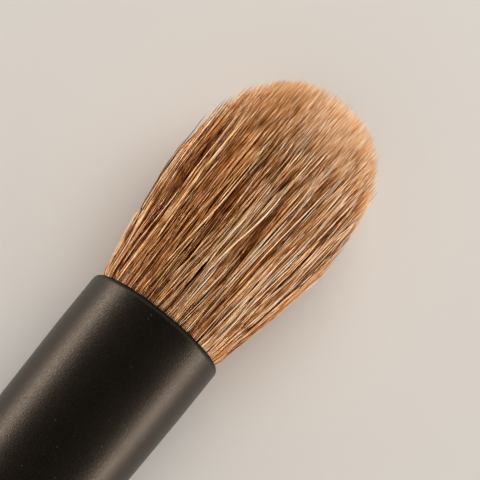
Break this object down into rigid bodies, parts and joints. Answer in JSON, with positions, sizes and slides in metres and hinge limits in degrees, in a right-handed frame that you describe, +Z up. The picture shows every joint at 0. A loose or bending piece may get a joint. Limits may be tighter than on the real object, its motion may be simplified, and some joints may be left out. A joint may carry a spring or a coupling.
{
  "type": "eyeshadow brush",
  "caption": "Round eyeshadow brush: oval head of soft natural hair in a tapered matt black metal ferrule, on a slim turned handle.",
  "frame": {"origin": "centre of the brush's length and width, on the surface that it lies on", "axes": "+X along the brush towards the hair tip, +Z up; the brush's own axis rises towards the hair by 0.9 degree, because it rests on the belly of the hair and on the butt of the handle"},
  "size_m": [0.167, 0.0098, 0.0095],
  "materials": {
    "black_anodised_metal": "matt, fine bead-blasted and anodised",
    "natural_hair": "soft tapered hair",
    "thread": "matt twisted thread",
    "resin": "clear amber, cast",
    "black_lacquered_wood": "satin lacquer"
  },
  "bodies": {
    "root": {"ferrule": "black_anodised_metal", "hair_bundle": "natural_hair", "binding_thread": "thread", "root_plug": "resin", "handle_glue": "resin", "handle": "black_lacquered_wood"}
  },
  "joints": []
}
